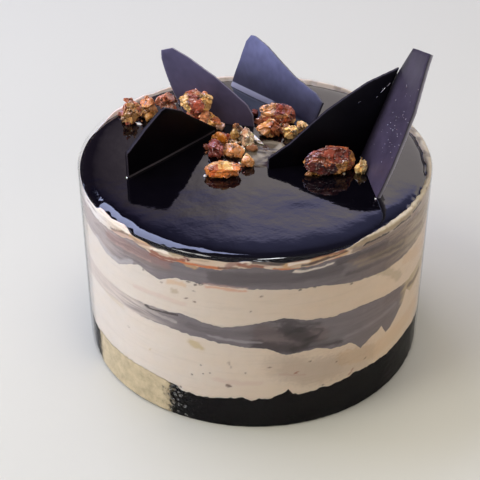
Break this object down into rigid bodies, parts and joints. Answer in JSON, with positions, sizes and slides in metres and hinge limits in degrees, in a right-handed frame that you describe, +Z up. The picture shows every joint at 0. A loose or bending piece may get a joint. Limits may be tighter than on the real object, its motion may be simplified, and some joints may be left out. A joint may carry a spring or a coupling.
{
  "type": "mocha cake",
  "caption": "Round layered mousse cake in a clear collar, with a dark mirror glaze, standing chocolate shards and candied pecan pieces on top",
  "frame": {"origin": "middle of the cake's round underside, on the surface it stands on", "axes": "+Z up, front of the cake towards -Y"},
  "size_m": [0.15, 0.15, 0.1385],
  "materials": {
    "sponge": "moist dark crumb",
    "cream": "soft satin cream",
    "mousse": "soft satin mousse",
    "marbled": "smeared cream and glaze",
    "glaze": "mirror gloss",
    "chocolate": "satin tempered chocolate",
    "pecan": "caramel coated nut",
    "film": "clear glossy film"
  },
  "bodies": {
    "root": {"base_sponge": "sponge", "cream_lower": "cream", "cream_upper": "cream", "mousse_lower": "mousse", "mousse_upper": "mousse", "cream_top": "marbled", "glaze": "glaze", "film_collar": "film", "shard_1": "chocolate", "shard_2": "chocolate", "shard_3": "chocolate", "shard_4": "chocolate", "shard_5": "chocolate", "pecan_01": "pecan", "pecan_02": "pecan", "pecan_03": "pecan", "pecan_04": "pecan", "pecan_05": "pecan", "pecan_06": "pecan", "pecan_07": "pecan", "pecan_08": "pecan", "pecan_09": "pecan", "pecan_10": "pecan", "pecan_11": "pecan", "pecan_12": "pecan", "pecan_13": "pecan", "pecan_14": "pecan", "pecan_15": "pecan", "pecan_16": "pecan", "pecan_17": "pecan", "pecan_18": "pecan", "pecan_19": "pecan", "pecan_20": "pecan"}
  },
  "joints": []
}
